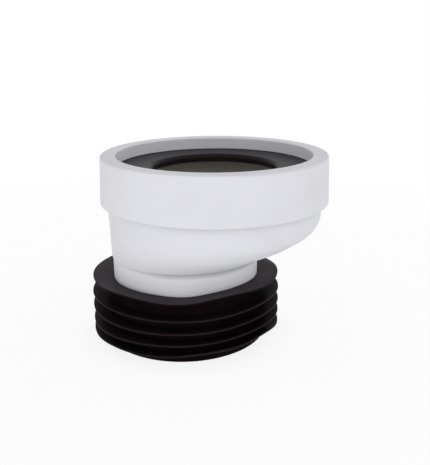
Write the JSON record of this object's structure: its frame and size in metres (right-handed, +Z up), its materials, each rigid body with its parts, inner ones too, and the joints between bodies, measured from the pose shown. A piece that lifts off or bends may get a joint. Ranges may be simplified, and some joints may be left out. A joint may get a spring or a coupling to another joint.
{
  "type": "toilet pan connector",
  "caption": "Short rigid offset connector from a toilet pan to a soil pipe, with a collared rubber inlet seal and a finned rubber outlet sleeve.",
  "frame": {"origin": "on the outlet's axis, in the plane that the outlet seal's foot stands on", "axes": "+Z up along the outlet's axis towards the inlet, +X from the outlet's axis towards the inlet's axis"},
  "size_m": [0.1457, 0.1384, 0.112],
  "materials": {
    "white_plastic": "satin",
    "black_rubber": "matte"
  },
  "bodies": {
    "root": {"offset_body": "white_plastic", "retaining_ring": "white_plastic", "inlet_seal": "black_rubber", "outlet_seal": "black_rubber"}
  },
  "joints": []
}
